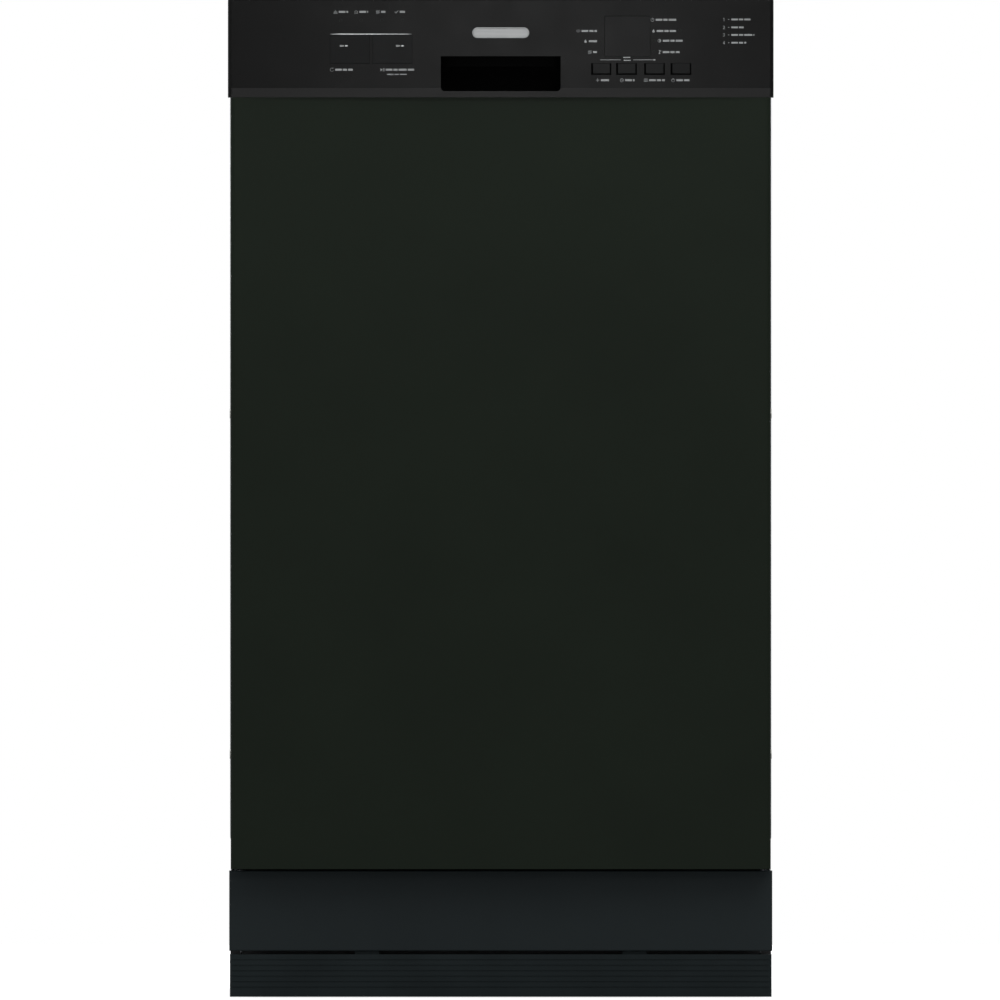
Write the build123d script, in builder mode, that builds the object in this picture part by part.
"""A slim built-in dishwasher, in millimetres.

X points right, the front faces -Y and Z points up. The origin is the middle of the base, on the floor.
"""

import os

from build123d import *

os.makedirs("parts", exist_ok=True)

# ---- driving dimensions ----
WIDTH = 448.0
HEIGHT = 820.0
FRONT = -285.0
BACK = 285.0

SHEET = 1.0
FASCIA_BOTTOM = 739.5
FASCIA_BOW = 5.5
FASCIA_WALL = 2.5
BEVEL_TOP = 747.0
BEVEL_SETBACK = 2.5
DOOR_HALF = 221.75
PANEL_BOTTOM = 105.9
PANEL_FRONT = -277.0
LINER_FRONT = -246.5
LINER_BACK = -245.0
BULGE_BACK = -225.0
PIVOT = (-255.0, 118.0)

TUB_HALF = 203.0
TUB_FRONT = -232.0
TUB_BACK = 250.0
TUB_FLOOR = 146.0
TUB_TOP = 785.0
SIDE_HALF = 222.0
SIDE_BACK = 271.0
TRAY_HALF = 215.0
TRAY_BOTTOM = 22.0
TRAY_FRONT = -215.0
TRAY_BACK = 262.0
PORT_Z = 42.0
TOE_BOTTOM = 0.4
TOE_TOP = 35.3

ARM_CENTRE = (0.0, 11.0)
SUMP = (75.0, -60.0)
FLOAT = (150.0, 215.0)
FEET = {
    "foot_front_left": (-185.0, -190.0),
    "foot_front_right": (185.0, -190.0),
    "foot_rear_left": (-185.0, 240.0),
    "foot_rear_right": (185.0, 240.0),
}
STEM_RADIUS = 6.0

HANDLE_HALF = 49.2
HANDLE_Z = (744.5, 773.2)
WINDOW = (85.5, 122.5, 773.0, 806.0)
BUTTONS = {
    "program_button": (-140.0, -108.0, 767.4, 790.4),
    "start_button": (-105.0, -73.0, 767.4, 790.4),
    "extra_button": (74.5, 90.5, 758.2, 767.2),
    "delay_button": (95.0, 111.4, 758.2, 767.2),
    "options_button": (118.0, 134.4, 758.2, 767.2),
    "power_button": (139.7, 156.1, 758.2, 767.2),
}
BUTTON_PROUD = 0.5
SMALL_KEYS = ("extra_button", "delay_button", "options_button", "power_button")
SMALL_KEY_GAPS = (1.3, 0.9, 0.9, 0.2)
LAMPS = [(x, 802.7) for x in (-131.4, -114.5, -97.5, -80.6)]
LAMPS += [(82.3, 785.1), (82.3, 776.4), (147.0, 794.5), (125.7, 785.9), (125.7, 776.9)]

RACK_HALF = 183.0
RACK_FRONT = -205.0
RACK_BACK = 230.0
WHEEL_RADIUS = 17.0
WHEEL_Z = 167.3
WHEEL_Y = {"lower_front_wheels": -128.0, "lower_rear_wheels": 150.0}
ROLLER_RADIUS = 5.5
ROLLER_Z = 548.0
ROLLER_Y = {"upper_front_rollers": -195.0, "upper_rear_rollers": -140.0}
LINER_SCREWS = [(side * 215.0, z) for side in (-1, 1) for z in (320.0, 470.0, 620.0, 770.0)]
SIDE_SCREWS = [(y, z) for y in (-222.0, 255.0) for z in (200.0, 480.0, 760.0)]


# ---- helpers ----
def block(x, y, z, mode=Mode.ADD):
    """Put a block between two values on each axis into the part being built."""
    with Locations(((x[0] + x[1]) / 2, (y[0] + y[1]) / 2, (z[0] + z[1]) / 2)):
        Box(x[1] - x[0], y[1] - y[0], z[1] - z[0], mode=mode)


def bar(axis, centre, radius, span, mode=Mode.ADD):
    """Put a cylinder along an axis: centre holds the other two coordinates, in X, Y, Z order."""
    middle = (span[0] + span[1]) / 2
    places = {
        "x": ((middle, centre[0], centre[1]), (0, 90, 0)),
        "y": ((centre[0], middle, centre[1]), (90, 0, 0)),
        "z": ((centre[0], centre[1], middle), (0, 0, 0)),
    }
    place, turn = places[axis]
    with Locations(place):
        Cylinder(radius, span[1] - span[0], rotation=turn, mode=mode)


def facing(y):
    """A sketch plane at depth y; its extrusions run towards the front."""
    return Plane.XZ.offset(-y)


def bow(x):
    """The depth of the fascia's curved front at x."""
    return FRONT + FASCIA_BOW * (x / (WIDTH / 2)) ** 2


def bowed_key(x, z, proud, back):
    """A prism whose front follows the fascia, standing proud of it, in the part being built."""
    middle = (x[0] + x[1]) / 2
    left, centre, right = (bow(place) - proud for place in (x[0], middle, x[1]))
    with BuildSketch(Plane.XY.offset(z[0])) as plan:
        with BuildLine():
            ThreePointArc((x[0], left), (middle, centre - 0.001), (x[1], right))
            Polyline((x[1], right), (x[1], back), (x[0], back), (x[0], left))
        make_face()
    extrude(plan.sketch, amount=z[1] - z[0])


def grille(plane, size, cell, bar_width, thickness):
    """A flat grid of bars on a plane, centred on it."""
    columns = max(1, round(size[0] / cell))
    rows = max(1, round(size[1] / cell))
    pitch = ((size[0] - bar_width) / columns, (size[1] - bar_width) / rows)
    with BuildSketch(plane) as mesh:
        Rectangle(*size)
        with GridLocations(*pitch, columns, rows):
            Rectangle(pitch[0] - bar_width, pitch[1] - bar_width, mode=Mode.SUBTRACT)
    extrude(mesh.sketch, amount=thickness)


def fascia_plan(inset, back, setback=0.0):
    """The fascia seen from above, drawn into a sketch: a bowed front with rounded corners."""
    half = WIDTH / 2 - inset
    front = FRONT + inset + setback
    edge = front + FASCIA_BOW
    with BuildLine() as outline:
        ThreePointArc((-half, edge), (0, front), (half, edge))
        Polyline((half, edge), (half, back), (-half, back), (-half, edge))
    make_face(outline.edges())
    fillet([v for v in vertices() if abs(v.Y - edge) < 0.01], max(3.0 - inset, 0.5))


# ---- base tray: a floor pan, four walls and four foot sockets, a hair's breadth apart ----
JOIN = 0.1
RIM = (141.0, 144.4)
TRAY_WALL = 3.0
TRAY_FLOOR = TRAY_BOTTOM + TRAY_WALL
with BuildPart() as base_tray:
    inner_half = TRAY_HALF - TRAY_WALL
    inner_y = (TRAY_FRONT + TRAY_WALL + JOIN, TRAY_BACK - TRAY_WALL - JOIN)
    wall_z = (TRAY_FLOOR + JOIN, RIM[1])
    block((-TRAY_HALF, TRAY_HALF), (TRAY_FRONT, TRAY_BACK), (TRAY_BOTTOM, TRAY_FLOOR))
    for foot in FEET.values():
        bar("z", foot, 12 + JOIN, (TRAY_BOTTOM - 1, TRAY_FLOOR + 1), Mode.SUBTRACT)
        bar("z", foot, 12, (12, 100))
        bar("z", foot, STEM_RADIUS + 0.3, (10, 101), Mode.SUBTRACT)
    block((-TRAY_HALF, TRAY_HALF), (TRAY_FRONT, TRAY_FRONT + TRAY_WALL), wall_z)
    block((-222.5, 222.5), (TRAY_FRONT, TRAY_FRONT + TRAY_WALL), (wall_z[0], 58))
    block((-TRAY_HALF, TRAY_HALF), (TRAY_BACK - TRAY_WALL, TRAY_BACK), wall_z)
    block((-TUB_HALF + JOIN, TUB_HALF - JOIN), (TUB_BACK, TRAY_BACK - TRAY_WALL), RIM)
    for side in (-1, 1):
        block(sorted((side * inner_half, side * TRAY_HALF)), inner_y, wall_z)
        block(sorted((side * TUB_HALF, side * inner_half)), inner_y, RIM)
        block(sorted((side * 209, side * TRAY_HALF)), (-234.5, TRAY_FRONT), (30, 34))
    for port_x, port_radius in ((-150, 14.0), (60, 13.4), (150, 12.0)):
        bar("y", (port_x, PORT_Z), port_radius, (250, 270), Mode.SUBTRACT)
base_tray.part.label = "base_tray"
export_step(base_tray.part, "parts/base_tray.step")

# ---- levelling feet: a threaded stem on a round pad ----
for name, (foot_x, foot_y) in FEET.items():
    with BuildPart() as foot:
        with BuildSketch(Plane.XY):
            with Locations((foot_x, foot_y)):
                Circle(20)
        extrude(amount=6)
        chamfer(foot.edges().group_by(Axis.Z)[-1], 2)
        with BuildSketch(Plane.XY.offset(6)):
            with Locations((foot_x, foot_y)):
                RegularPolygon(11, 6)
        extrude(amount=4)
        bar("z", (foot_x, foot_y), STEM_RADIUS, (6, 92))
    foot.part.label = name
    export_step(foot.part, f"parts/{name}.step")

# ---- side panels: galvanised sheet with a pressed field and a front return ----
for name, side in (("left_side_panel", -1), ("right_side_panel", 1)):
    with BuildPart() as panel:
        with BuildSketch(Plane.YZ.offset(side * (SIDE_HALF - SHEET))):
            with BuildLine():
                Polyline(
                    (-238, 815), (SIDE_BACK, 815), (SIDE_BACK, 60), (-230, 60),
                    (-230, 108), (-238, 108), (-238, 815),
                )
            make_face()
        extrude(amount=side * SHEET)
        with BuildSketch(Plane.YZ.offset(side * SIDE_HALF)):
            with Locations((20, 440)):
                RectangleRounded(440, 620, 20)
        extrude(amount=side * 0.8)
        block(sorted((side * 211, side * 221)), (-238, -237), (160, 815))
        block(sorted((side * 211, side * 221)), (-237, SIDE_BACK), (814, 815))
        for screw_y, screw_z in SIDE_SCREWS:
            bar("x", (screw_y, screw_z), 2.2, sorted((side * 220, side * 223)), Mode.SUBTRACT)
    panel.part.label = name
    export_step(panel.part, f"parts/{name}.step")

with BuildPart() as side_screws:
    for side in (-1, 1):
        for screw_y, screw_z in SIDE_SCREWS:
            bar("x", (screw_y, screw_z), 2.0, sorted((side * 217, side * 222)))
            bar("x", (screw_y, screw_z), 4.0, sorted((side * 222, side * 222.9)))
side_screws.part.label = "side_screws"
export_step(side_screws.part, "parts/side_screws.step")

# ---- rear frame: a pressed ring that squares the cabinet ----
with BuildPart() as rear_frame:
    block((-SIDE_HALF, SIDE_HALF), (SIDE_BACK, BACK), (60, 815))
    block((-205, 205), (SIDE_BACK - 1, BACK + 1), (128, 790), Mode.SUBTRACT)
    block((-220.5, 220.5), (SIDE_BACK - 1, 283.5), (61.5, 813.5), Mode.SUBTRACT)
rear_frame.part.label = "rear_frame"
export_step(rear_frame.part, "parts/rear_frame.step")

# ---- top brace: a channel with the latch strike and two worktop tabs ----
with BuildPart() as top_brace:
    block((-210, 210), (-236, -205), (799.5, 818))
    block((-211, 211), (-237, -206), (800.5, 817), Mode.SUBTRACT)
    block((-10, 10), (-233, -229), (800.5, 805))
    for side in (-1, 1):
        block((side * 150 - 14, side * 150 + 14), (-236, -212), (818, 819.5))
        bar("z", (side * 150, -224), 2.5, (815, 821), Mode.SUBTRACT)
top_brace.part.label = "top_brace"
export_step(top_brace.part, "parts/top_brace.step")

# ---- tub: a welded steel shell and its floor ----
with BuildPart() as tub_shell:
    with BuildSketch(facing(TUB_BACK + SHEET)):
        with Locations((0, (TUB_FLOOR + TUB_TOP + SHEET) / 2)):
            Rectangle(2 * (TUB_HALF + SHEET), TUB_TOP + SHEET - TUB_FLOOR)
        fillet(vertices().group_by(Axis.Y)[-1], 19)
    extrude(amount=TUB_BACK + SHEET - TUB_FRONT)
    with BuildSketch(facing(TUB_FRONT + SHEET)):
        with Locations((0, (134 + 797) / 2)):
            Rectangle(421, 797 - 134)
    extrude(amount=SHEET)
    with BuildSketch(facing(TUB_BACK)):
        with Locations((0, (TUB_FLOOR + TUB_TOP) / 2)):
            Rectangle(2 * TUB_HALF, TUB_TOP - TUB_FLOOR)
        fillet(vertices().group_by(Axis.Y)[-1], 18)
    extrude(amount=TUB_BACK - TUB_FRONT + 1, mode=Mode.SUBTRACT)
tub_shell.part.label = "tub_shell"
export_step(tub_shell.part, "parts/tub_shell.step")

with BuildPart() as tub_floor:
    block((-TUB_HALF - 1, TUB_HALF + 1), (TUB_FRONT + 1, TUB_BACK + 1), (144.5, TUB_FLOOR))
    for side in (-1, 1):
        block(sorted((side * 185, side * TUB_HALF)), (-225, 245), (TUB_FLOOR, 150))
    bar("z", SUMP, 60, (140, 148), Mode.SUBTRACT)
    bar("z", ARM_CENTRE, 13.5, (140, 148), Mode.SUBTRACT)
    bar("z", FLOAT, 8, (140, 148), Mode.SUBTRACT)
tub_floor.part.label = "tub_floor"
export_step(tub_floor.part, "parts/tub_floor.step")

# ---- door seal: a rubber ring round the tub's mouth ----
with BuildPart() as door_seal:
    with BuildSketch(facing(TUB_FRONT)):
        with Locations((0, (136 + 792) / 2)):
            RectangleRounded(419, 656, 16)
            RectangleRounded(407, 644, 10, mode=Mode.SUBTRACT)
    extrude(amount=12.2)
    fillet(door_seal.edges().group_by(Axis.Y)[0], 2.4)
door_seal.part.label = "door_seal"
export_step(door_seal.part, "parts/door_seal.step")

# ---- felt blanket over the top and down the back of the tub ----
with BuildPart() as sound_blanket:
    with BuildSketch(Plane.YZ.offset(-200)):
        with BuildLine():
            Polyline(
                (-200, 788), (253, 788), (253, 150), (262, 150), (262, 797), (-200, 797), (-200, 788)
            )
        make_face()
        fillet(vertices().sort_by_distance((262, 797, 0))[0], 9)
    extrude(amount=400)
sound_blanket.part.label = "sound_blanket"
export_step(sound_blanket.part, "parts/sound_blanket.step")

# ---- hinges: fixed brackets with pins, arms in the door, and their springs ----
LEVER = (PIVOT[0] + 25.5, PIVOT[1] + 5.0)
with BuildPart() as hinge_brackets:
    for side in (-1, 1):
        with BuildSketch(Plane.YZ.offset(side * 217.5)):
            with Locations(PIVOT):
                Circle(8)
            with Locations((-235, PIVOT[1])):
                Rectangle(40, 16)
            with Locations((-172.5, 105)):
                RectangleRounded(85, 90, 6)
        extrude(amount=side * 2)
        bar("x", PIVOT, 4.0, sorted((side * 210.6, side * 217.5)))
hinge_brackets.part.label = "hinge_brackets"
export_step(hinge_brackets.part, "parts/hinge_brackets.step")

with BuildPart() as hinge_arms:
    for side in (-1, 1):
        with BuildSketch(Plane.YZ.offset(side * 212)):
            with Locations(PIVOT):
                Circle(11)
            with Locations((-257, 209)):
                Rectangle(14, 182)
            with Locations(((PIVOT[0] + LEVER[0]) / 2, (PIVOT[1] + LEVER[1]) / 2)):
                Rectangle(26, 9, rotation=11)
            with Locations(LEVER):
                Circle(5)
                Circle(1.6, mode=Mode.SUBTRACT)
            with Locations(PIVOT):
                Circle(4.1, mode=Mode.SUBTRACT)
        extrude(amount=side * 3)
hinge_arms.part.label = "hinge_arms"
export_step(hinge_arms.part, "parts/hinge_arms.step")

with BuildPart() as hinge_springs:
    for side in (-1, 1):
        bar("z", (side * 213.5, LEVER[0]), 3.8, (34.3, 117.6))
        bar("z", (side * 213.5, LEVER[0]), 2.4, (33, 119), Mode.SUBTRACT)
hinge_springs.part.label = "hinge_springs"
export_step(hinge_springs.part, "parts/hinge_springs.step")

# ---- sump: a moulded bowl with the lower spray arm's post ----
with BuildPart() as sump_bowl:
    bar("z", SUMP, 58, (60, 144.3))
    bar("z", SUMP, 66, (141, 144.3))
    bar("z", ARM_CENTRE, 13, (86, 156))
    bar("z", ARM_CENTRE, 6, (156, 175))
    with BuildSketch(Plane.XY.offset(100)):
        with Locations((34, -21.2)):
            Rectangle(88, 22, rotation=-43.4)
    extrude(amount=30)
    bar("z", SUMP, 55.5, (63, 145), Mode.SUBTRACT)
    bar("x", (SUMP[1], 80), 11, (10, 25), Mode.SUBTRACT)
sump_bowl.part.label = "sump_bowl"
export_step(sump_bowl.part, "parts/sump_bowl.step")

with BuildPart() as coarse_filter:
    bar("z", SUMP, 67, (146.2, 148))
    bar("z", SUMP, 38, (145, 149), Mode.SUBTRACT)
    bar("z", ARM_CENTRE, 14, (145, 149), Mode.SUBTRACT)
coarse_filter.part.label = "coarse_filter"
export_step(coarse_filter.part, "parts/coarse_filter.step")

with BuildPart() as micro_filter:
    bar("z", SUMP, 36, (90, 150))
    bar("z", SUMP, 33.5, (89, 147), Mode.SUBTRACT)
    block((SUMP[0] - 24, SUMP[0] + 24), (SUMP[1] - 3.5, SUMP[1] + 3.5), (150, 156))
micro_filter.part.label = "micro_filter"
export_step(micro_filter.part, "parts/micro_filter.step")

with BuildPart() as float_dome:
    bar("z", FLOAT, 17, (150, 170))
    fillet(float_dome.edges().group_by(Axis.Z)[-1], 6)
    bar("z", FLOAT, 14, (149, 164), Mode.SUBTRACT)
    bar("z", FLOAT, 5, (120, 165))
float_dome.part.label = "float_dome"
export_step(float_dome.part, "parts/float_dome.step")

# ---- heater: one loop of tube round the tub floor, ending in two terminals ----
with BuildPart() as heater_loop:
    with BuildLine():
        loop = FilletPolyline(
            (-30, 228, 153.5), (-30, 190, 153.5), (-165, 190, 153.5), (-165, -150, 153.5),
            (165, -150, 153.5), (165, 185, 153.5), (30, 185, 153.5), (30, 228, 153.5),
            radius=16,
        )
    with BuildSketch(Plane(origin=loop @ 0, z_dir=loop % 0)):
        Circle(3.2)
    sweep()
    for side in (-1, 1):
        bar("z", (side * 30, 228), 7, (146.2, 158))
heater_loop.part.label = "heater_loop"
export_step(heater_loop.part, "parts/heater_loop.step")

# ---- circulation pump and its impeller ----
PUMP_AXIS = (SUMP[1], 80.0)
with BuildPart() as circulation_pump:
    bar("x", PUMP_AXIS, 34, (-112, -20))
    bar("x", PUMP_AXIS, 42, (-20, 8))
    bar("x", PUMP_AXIS, 14, (8, 16.6))
    bar("y", (-6, 90), 9, (-30, -3))
    bar("x", PUMP_AXIS, 37, (-17, 5), Mode.SUBTRACT)
    bar("x", PUMP_AXIS, 11, (4, 17), Mode.SUBTRACT)
    bar("x", PUMP_AXIS, 4.3, (-62, -16), Mode.SUBTRACT)
    block((-100, -40), (-78, -42), (25.2, 50))
circulation_pump.part.label = "circulation_pump"
export_step(circulation_pump.part, "parts/circulation_pump.step")

with BuildPart() as pump_impeller:
    bar("x", PUMP_AXIS, 33, (-13, -10))
    bar("x", PUMP_AXIS, 4, (-60, -10))
    bar("x", PUMP_AXIS, 8, (-10, 0))
    with BuildSketch(Plane.YZ.offset(-10)):
        with Locations(PUMP_AXIS):
            with PolarLocations(20, 6):
                Rectangle(24, 2, rotation=35)
    extrude(amount=9)
pump_impeller.part.label = "pump_impeller"
export_step(pump_impeller.part, "parts/pump_impeller.step")

# ---- drain pump with its hose spigot ----
with BuildPart() as drain_pump:
    bar("y", (150, 52), 26, (165, 225))
    bar("y", (150, PORT_Z), 9, (225, 263))
    bar("y", (150, PORT_Z), 10, (263, BACK))
    bar("y", (150, PORT_Z), 7, (230, BACK + 1), Mode.SUBTRACT)
drain_pump.part.label = "drain_pump"
export_step(drain_pump.part, "parts/drain_pump.step")

# ---- inlet valve with a three quarter inch spigot ----
with BuildPart() as inlet_valve:
    block((-172, -128), (205, 250), (26, 60))
    bar("z", (-150, 226), 15, (60, 88))
    bar("y", (-150, PORT_Z), 12, (250, 264))
    bar("y", (-150, PORT_Z), 13.2, (264, 283))
    bar("y", (-150, PORT_Z), 8.5, (240, 284), Mode.SUBTRACT)
inlet_valve.part.label = "inlet_valve"
export_step(inlet_valve.part, "parts/inlet_valve.step")

# ---- junction box for the mains cable ----
with BuildPart() as junction_box:
    block((28, 92), (205, 256), (26, 80))
    block((30, 90), (207, 254), (28, 81), Mode.SUBTRACT)
    block((28, 92), (205, 256), (80, 82))
    bar("y", (60, PORT_Z), 13, (254, 273))
    bar("y", (60, PORT_Z), 9, (253, 274), Mode.SUBTRACT)
junction_box.part.label = "junction_box"
export_step(junction_box.part, "parts/junction_box.step")

# ---- feed pipe up the tub's back ----
with BuildPart() as rear_feed_pipe:
    with BuildSketch(Plane.XY.offset(146.2)):
        with Locations((0, 243.7)):
            RectangleRounded(32, 11.6, 4)
    extrude(amount=338)
    bar("y", (0, 478), 8, (236, 246), Mode.SUBTRACT)
rear_feed_pipe.part.label = "rear_feed_pipe"
export_step(rear_feed_pipe.part, "parts/rear_feed_pipe.step")

# ---- spray arms: tapered blades on a hub, with jet holes along each blade ----
for name, reach, low, high, spindle in (
    ("lower_spray_arm", 180.0, 162.0, 173.0, (159.0, 176.0)),
    ("upper_spray_arm", 170.0, 457.0, 468.0, (455.0, 472.5)),
):
    with BuildPart() as spray_arm:
        with BuildSketch(Plane.XY.offset(low)):
            for side in (-1, 1):
                with BuildSketch(mode=Mode.PRIVATE) as blade_ends:
                    with Locations(ARM_CENTRE):
                        Circle(21)
                    with Locations((side * (reach - 14), ARM_CENTRE[1] + side * 6)):
                        Circle(12)
                make_hull(blade_ends.edges())
        extrude(amount=high - low)
        fillet(spray_arm.edges().group_by(Axis.Z)[-1], 3)
        bar("z", ARM_CENTRE, 18, (spindle[0] + 1, high + 3))
        bar("z", ARM_CENTRE, STEM_RADIUS + 0.3, spindle, Mode.SUBTRACT)
        for side in (-1, 1):
            for step in range(5):
                jet = (side * (48 + 26 * step), ARM_CENTRE[1] + side * (1 + step))
                bar("z", jet, 1.8, (high - 3, high + 1), Mode.SUBTRACT)
    spray_arm.part.label = name
    export_step(spray_arm.part, f"parts/{name}.step")

# ---- lower rack: a floor, four walls, a row of tines and four wheel brackets ----
with BuildPart() as lower_rack:
    middle = (RACK_FRONT + RACK_BACK) / 2
    length = RACK_BACK - RACK_FRONT
    grille(Plane.XY.offset(185).shift_origin((0, middle, 185)), (2 * RACK_HALF, length), 60, 4, 3)
    for side in (-1, 1):
        inside = side * (RACK_HALF - 3)
        wall = Plane.YZ.offset(inside).shift_origin((inside, middle, 244))
        grille(wall, (length, 111), 55, 4, side * 3)
        for wheel_y in WHEEL_Y.values():
            block(sorted((side * 183.4, side * 185.4)), (wheel_y - 9, wheel_y + 9), (160, 214))
            bar("x", (wheel_y, WHEEL_Z), 3, sorted((side * 185.4, side * 200.5)))
    for end_y in (RACK_FRONT + 3, RACK_BACK):
        end = facing(end_y).shift_origin((0, end_y, 239))
        grille(end, (2 * RACK_HALF - 6.6, 101), 60, 4, 3)
    for tine_y in (40, 130):
        tines = facing(tine_y).shift_origin((-60, tine_y, 219))
        grille(tines, (170, 61), 24, 4, 3)
lower_rack.part.label = "lower_rack"
export_step(lower_rack.part, "parts/lower_rack.step")

for name, wheel_y in WHEEL_Y.items():
    with BuildPart() as wheels:
        for side in (-1, 1):
            bar("x", (wheel_y, WHEEL_Z), WHEEL_RADIUS, sorted((side * 188, side * 199)))
            bar("x", (wheel_y, WHEEL_Z), 12, sorted((side * 197, side * 199)), Mode.SUBTRACT)
            bar("x", (wheel_y, WHEEL_Z), 6, sorted((side * 187, side * 199)))
            bar("x", (wheel_y, WHEEL_Z), 3.3, sorted((side * 186, side * 201)), Mode.SUBTRACT)
    wheels.part.label = name
    export_step(wheels.part, f"parts/{name}.step")

# ---- cutlery basket: an open box with a carrying handle ----
BASKET = ((58.0, 174.0), (-196.0, -136.0), (189.0, 300.0))
with BuildPart() as cutlery_basket:
    block(*BASKET)
    inner = [(low + 2, high - 2) for low, high in BASKET[:2]]
    block(inner[0], inner[1], (192, 301), Mode.SUBTRACT)
    block((115, 117), inner[1], (191, 300))
    for column in range(8):
        for level in (205, 237, 269):
            slot_x = 66 + 14 * column
            block((slot_x, slot_x + 7), (-200, -130), (level, level + 24), Mode.SUBTRACT)
    block((113, 119), (-169, -163), (300, 328))
    block((84, 148), (-170, -162), (326, 332))
cutlery_basket.part.label = "cutlery_basket"
export_step(cutlery_basket.part, "parts/cutlery_basket.step")

# ---- upper rack: floor, four walls and two channel rails ----
with BuildPart() as upper_rack:
    grille(Plane.XY.offset(489).shift_origin((0, middle, 489)), (2 * RACK_HALF, length), 60, 4, 3)
    for side in (-1, 1):
        inside = side * (RACK_HALF - 3)
        wall = Plane.YZ.offset(inside).shift_origin((inside, middle, 546.2))
        grille(wall, (length, 108), 54, 4, side * 3)
        block(sorted((side * 183.4, side * 200)), (RACK_FRONT, RACK_BACK), (539.6, 556.4))
        block(sorted((side * 185.4, side * 201)), (RACK_FRONT - 1, RACK_BACK - 2), (541.6, 554.4),
              Mode.SUBTRACT)
    for end_y in (RACK_FRONT + 3, RACK_BACK):
        end = facing(end_y).shift_origin((0, end_y, 540))
        grille(end, (2 * RACK_HALF - 6.6, 95), 60, 4, 3)
upper_rack.part.label = "upper_rack"
export_step(upper_rack.part, "parts/upper_rack.step")

with BuildPart() as roller_mounts:
    for side in (-1, 1):
        for roller_y in ROLLER_Y.values():
            bar("x", (roller_y, ROLLER_Z), 8, sorted((side * 201.2, side * TUB_HALF)))
            bar("x", (roller_y, ROLLER_Z), 2.5, sorted((side * 189, side * 201.2)))
roller_mounts.part.label = "roller_mounts"
export_step(roller_mounts.part, "parts/roller_mounts.step")

for name, roller_y in ROLLER_Y.items():
    with BuildPart() as rollers:
        for side in (-1, 1):
            bar("x", (roller_y, ROLLER_Z), ROLLER_RADIUS, sorted((side * 190, side * 199)))
            bar("x", (roller_y, ROLLER_Z), 2.8, sorted((side * 189, side * 200)), Mode.SUBTRACT)
    rollers.part.label = name
    export_step(rollers.part, f"parts/{name}.step")

with BuildPart() as cup_shelf:
    shelf = Plane.XY.offset(585).shift_origin((-138.5, 10, 585))
    grille(shelf, (76, 300), 25, 3, 3)
    bar("y", (-177.5, 586.5), 1.4, (-144, 164))
cup_shelf.part.label = "cup_shelf"
export_step(cup_shelf.part, "parts/cup_shelf.step")

with BuildPart() as upper_feed_tube:
    block((-14, 14), (-8, 234), (474, 488))
    fillet(upper_feed_tube.edges().filter_by(Axis.Y), 5)
    bar("y", (0, 478), 6, (234, 237))
    bar("z", ARM_CENTRE, 10, (473, 475))
    bar("z", ARM_CENTRE, STEM_RADIUS, (456, 473))
upper_feed_tube.part.label = "upper_feed_tube"
export_step(upper_feed_tube.part, "parts/upper_feed_tube.step")

# ---- access panel and toe kick ----
with BuildPart() as access_panel:
    block((-223.25, 223.25), (-240, -236), (38.2, 104.3))
    fillet(access_panel.edges().group_by(Axis.Y)[0], 1.2)
    block((-222.25, 222.25), (-239, -235), (39.2, 103.3), Mode.SUBTRACT)
    for side in (-1, 1):
        block((side * 160 - 10, side * 160 + 10), (-239, TRAY_FRONT - 0.2), (56, 60))
access_panel.part.label = "access_panel"
export_step(access_panel.part, "parts/access_panel.step")

with BuildPart() as toe_kick:
    with BuildSketch(Plane.XY.offset(TOE_BOTTOM)):
        with Locations((0, -229)):
            Rectangle(445.5, 18)
        fillet(vertices().group_by(Axis.Y)[0], 3)
        with Locations((0, -227.5)):
            Rectangle(440.5, 16, mode=Mode.SUBTRACT)
    extrude(amount=TOE_TOP - TOE_BOTTOM)
    for groove_z in (7.5, 12, 16.5, 21, 25.5, 30):
        block((-226, 226), (-239, -237.4), (groove_z, groove_z + 1.2), Mode.SUBTRACT)
    for side in (-1, 1):
        block((side * 110 - 10, side * 110 + 10), (-235.5, -233.7), (10, 58))
toe_kick.part.label = "toe_kick"
export_step(toe_kick.part, "parts/toe_kick.step")

# ---- door: outer pan ----
with BuildPart() as door_panel:
    with BuildSketch(Plane.XY.offset(PANEL_BOTTOM)):
        with Locations((0, (PANEL_FRONT - 247) / 2)):
            Rectangle(2 * DOOR_HALF, 30)
        fillet(vertices().group_by(Axis.Y)[0], 3.5)
    extrude(amount=FASCIA_BOTTOM - PANEL_BOTTOM)
    with BuildSketch(Plane.XY.offset(PANEL_BOTTOM)):
        with Locations((0, -261)):
            Rectangle(2 * (DOOR_HALF - SHEET), 30)
        fillet(vertices().group_by(Axis.Y)[0], 2.5)
    extrude(amount=FASCIA_BOTTOM - PANEL_BOTTOM, mode=Mode.SUBTRACT)
    block((-208, 208), (PANEL_FRONT + 0.5, -247), (PANEL_BOTTOM, PANEL_BOTTOM + SHEET))
    block((-208, 208), (PANEL_FRONT + 0.5, -262), (FASCIA_BOTTOM - SHEET, FASCIA_BOTTOM))
door_panel.part.label = "door_panel"
export_step(door_panel.part, "parts/door_panel.step")

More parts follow.
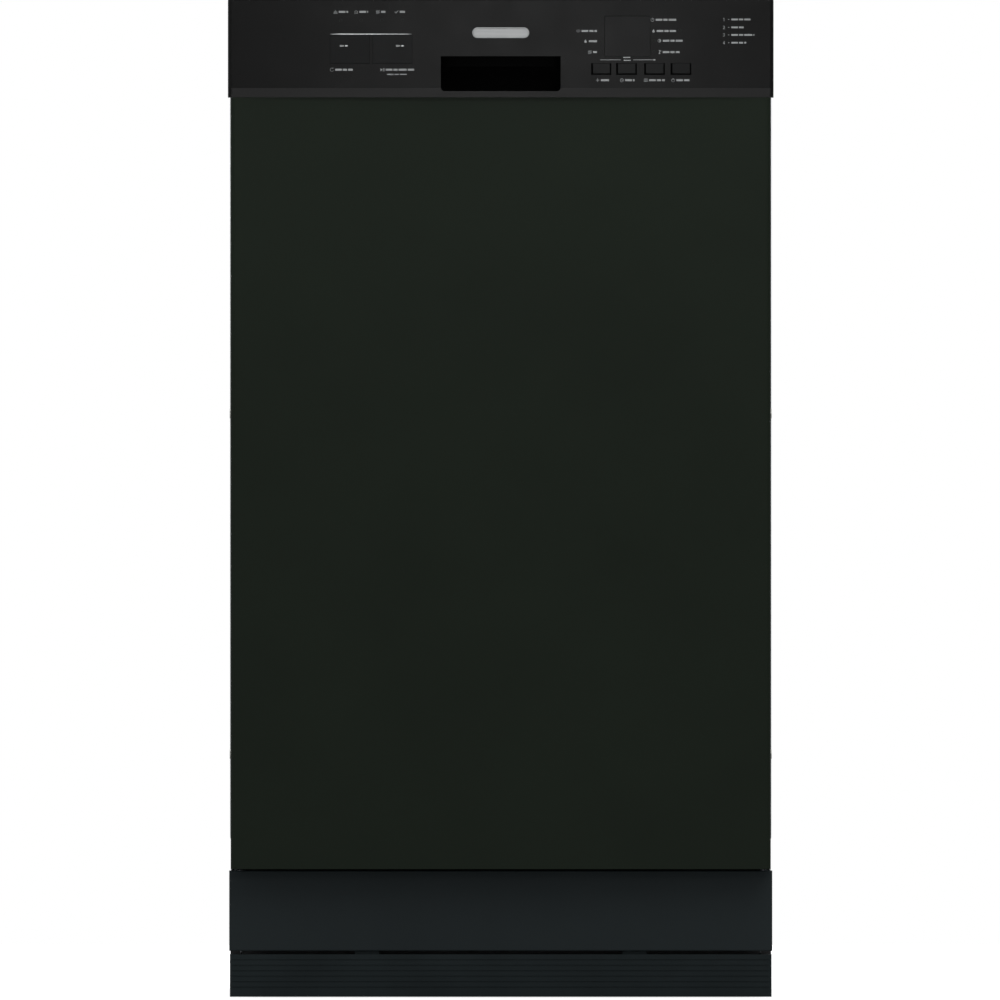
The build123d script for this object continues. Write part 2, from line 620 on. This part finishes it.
# ---- door: inner liner with its raised field ----
with BuildPart() as door_liner:
    block((-220.5, 220.5), (LINER_FRONT, LINER_BACK), (108, 816))
    for side in (-1, 1):
        block(sorted((side * 210, side * 222)), (-248, -244), (107, 150), Mode.SUBTRACT)
    with BuildSketch(facing(LINER_BACK)):
        with Locations((0, 466)):
            RectangleRounded(400, 628, 22)
    extrude(amount=-(BULGE_BACK - LINER_BACK), taper=4)
    with BuildSketch(facing(LINER_FRONT - 0.01)):
        with Locations((0, 466)):
            RectangleRounded(397, 625, 20.5)
    extrude(amount=-(BULGE_BACK - SHEET - LINER_FRONT), taper=4, mode=Mode.SUBTRACT)
    block((-22, 132), (-228, -220), (358, 472), Mode.SUBTRACT)
    block((-9, 9), (-248, -244), (800, 815), Mode.SUBTRACT)
    for screw_x, screw_z in LINER_SCREWS:
        bar("y", (screw_x, screw_z), 1.8, (-248, -244), Mode.SUBTRACT)
door_liner.part.label = "door_liner"
export_step(door_liner.part, "parts/door_liner.step")

with BuildPart() as liner_screws:
    for screw_x, screw_z in LINER_SCREWS:
        bar("y", (screw_x, screw_z), 1.5, (-252, LINER_BACK))
        bar("y", (screw_x, screw_z), 3.5, (LINER_BACK, -243.6))
liner_screws.part.label = "liner_screws"
export_step(liner_screws.part, "parts/liner_screws.step")

# ---- control fascia ----
with BuildPart() as control_fascia:
    with BuildSketch(Plane.XY.offset(BEVEL_TOP)):
        fascia_plan(0.0, -247)
    extrude(amount=HEIGHT - BEVEL_TOP)
    fillet(control_fascia.edges().group_by(Axis.Z)[-1].filter_by(lambda e: e.center().Y < -248), 1.2)
    with BuildSketch(Plane.XY.offset(BEVEL_TOP)):
        fascia_plan(0.0, -247)
    with BuildSketch(Plane.XY.offset(FASCIA_BOTTOM)):
        fascia_plan(0.0, -247, BEVEL_SETBACK)
    loft(ruled=True)
    with BuildSketch(Plane.XY.offset(BEVEL_TOP)):
        fascia_plan(FASCIA_WALL, -244)
    extrude(amount=HEIGHT - FASCIA_WALL - BEVEL_TOP, mode=Mode.SUBTRACT)
    with BuildSketch(Plane.XY.offset(742)):
        fascia_plan(5.0, -244)
    extrude(amount=BEVEL_TOP - 742, mode=Mode.SUBTRACT)
    with BuildSketch(facing(-270)):
        with Locations((0, sum(HANDLE_Z) / 2)):
            Rectangle(2 * HANDLE_HALF, HANDLE_Z[1] - HANDLE_Z[0])
        fillet(vertices().group_by(Axis.Y)[0], 3)
    extrude(amount=20, mode=Mode.SUBTRACT)
    for x0, x1, z0, z1 in list(BUTTONS.values()) + [WINDOW]:
        block((x0 - 0.3, x1 + 0.3), (-290, -270), (z0 - 0.3, z1 + 0.3), Mode.SUBTRACT)
    for lamp in LAMPS:
        bar("y", lamp, 1.3, (-290, -270), Mode.SUBTRACT)
control_fascia.part.label = "control_fascia"
export_step(control_fascia.part, "parts/control_fascia.step")

# ---- push buttons: bowed caps with a retaining flange behind the fascia ----
for name, (x0, x1, z0, z1) in BUTTONS.items():
    left, right, below, above = SMALL_KEY_GAPS if name in SMALL_KEYS else (0, 0, 0, 0)
    with BuildPart() as button:
        bowed_key((x0 + left, x1 - right), (z0 + below, z1 - above), BUTTON_PROUD, -272.5)
        block((x0 - 1, x1 + 1), (-277.6, -276.2), (z0 - 1, z1 + 1))
    button.part.label = name
    export_step(button.part, f"parts/{name}.step")

with BuildPart() as light_guides:
    bowed_key((WINDOW[0], WINDOW[1]), (WINDOW[2], WINDOW[3]), -0.1, -276)
    for lamp in LAMPS:
        bar("y", lamp, 1.15, (bow(lamp[0]) + 0.15, -270.3))
light_guides.part.label = "light_guides"
export_step(light_guides.part, "parts/light_guides.step")

with BuildPart() as control_board:
    for board_x in ((-190, -58), (58, 200)):
        block(board_x, (-268, -266.4), (752, 814))
    for x0, x1, z0, z1 in BUTTONS.values():
        key_x, key_z = (x0 + x1) / 2, (z0 + z1) / 2
        block((key_x - 3, key_x + 3), (-270.6, -268), (key_z - 3, key_z + 3))
    block((165, 190), (-266.4, -256), (770, 800))
    block((-180, -150), (-266.4, -258), (765, 790))
    block((WINDOW[0] + 4, WINDOW[1] - 4), (-275, -268), (WINDOW[2] + 4, WINDOW[3] - 4))
control_board.part.label = "control_board"
export_step(control_board.part, "parts/control_board.step")

# ---- handle recess: pocket, pull lever and latch hook ----
LEVER_PIVOT = (-270.5, 791.5)
HOOK_PIVOT = (-262.0, 808.0)
with BuildPart() as handle_pocket:
    block((-54, 54), (-279.3, -253), (742.4, 799))
    block((-52, 52), (-281, -255), (744.4, 797), Mode.SUBTRACT)
    for side in (-1, 1):
        bar("x", LEVER_PIVOT, 4, sorted((side * 45.5, side * 53)))
        block((side * 9.5 - 1.5, side * 9.5 + 1.5), (-267, -257), (799, 813))
    bar("x", LEVER_PIVOT, 2.2, (-51, 51), Mode.SUBTRACT)
    bar("x", HOOK_PIVOT, 1.5, (-9, 9))
handle_pocket.part.label = "handle_pocket"
export_step(handle_pocket.part, "parts/handle_pocket.step")

with BuildPart() as latch_lever:
    bar("x", LEVER_PIVOT, 3.2, (-44.6, 44.6))
    bar("x", LEVER_PIVOT, 1.9, (-50, 50))
    block((-44, 44), (-272, -269), (765, LEVER_PIVOT[1]))
latch_lever.part.label = "latch_lever"
export_step(latch_lever.part, "parts/latch_lever.step")

with BuildPart() as latch_hook:
    bar("x", HOOK_PIVOT, 4, (-7, 7))
    block((-6, 6), (-262, -222), (808, 811.5))
    block((-6, 6), (-227, -222), (805.6, 809))
    bar("x", HOOK_PIVOT, 1.8, (-8, 8), Mode.SUBTRACT)
latch_hook.part.label = "latch_hook"
export_step(latch_hook.part, "parts/latch_hook.step")

# ---- detergent dispenser, its flip lid and the rinse aid cap ----
LID_PIVOT = (-216.6, 369.5)
CAP = (105.0, 415.0)
with BuildPart() as detergent_dispenser:
    block((-20, 130), (-262, BULGE_BACK), (360, 470))
    block((-24, 134), (BULGE_BACK, -221), (356, 474))
    fillet(detergent_dispenser.edges().group_by(Axis.Y)[-1], 2)
    block((0, 70), (-252, -220), (380, 450), Mode.SUBTRACT)
    bar("y", CAP, 14, (-242, -220), Mode.SUBTRACT)
    for ear in ((0.5, 4.5), (65.5, 69.5)):
        block(ear, (-221.5, -213.6), (366.5, 372.5))
    bar("x", LID_PIVOT, 1.1, (4, 8))
    bar("x", LID_PIVOT, 1.1, (62, 66))
detergent_dispenser.part.label = "detergent_dispenser"
export_step(detergent_dispenser.part, "parts/detergent_dispenser.step")

with BuildPart() as detergent_lid:
    block((-3, 73), (-220.6, -217.8), (375.5, 455))
    fillet(detergent_lid.edges().group_by(Axis.Y)[-1], 1)
    block((10, 60), (-219.4, -216.4), (369.5, 377))
    bar("x", LID_PIVOT, 2.6, (5, 65))
    bar("x", LID_PIVOT, 1.4, (4, 9), Mode.SUBTRACT)
    bar("x", LID_PIVOT, 1.4, (61, 66), Mode.SUBTRACT)
detergent_lid.part.label = "detergent_lid"
export_step(detergent_lid.part, "parts/detergent_lid.step")

with BuildPart() as rinse_aid_cap:
    bar("y", CAP, 17, (-220.6, -217.6))
    bar("y", CAP, 13.6, (-232, -220.6))
    block((CAP[0] - 14, CAP[0] + 14), (-217.6, -212.6), (CAP[1] - 2.5, CAP[1] + 2.5))
rinse_aid_cap.part.label = "rinse_aid_cap"
export_step(rinse_aid_cap.part, "parts/rinse_aid_cap.step")
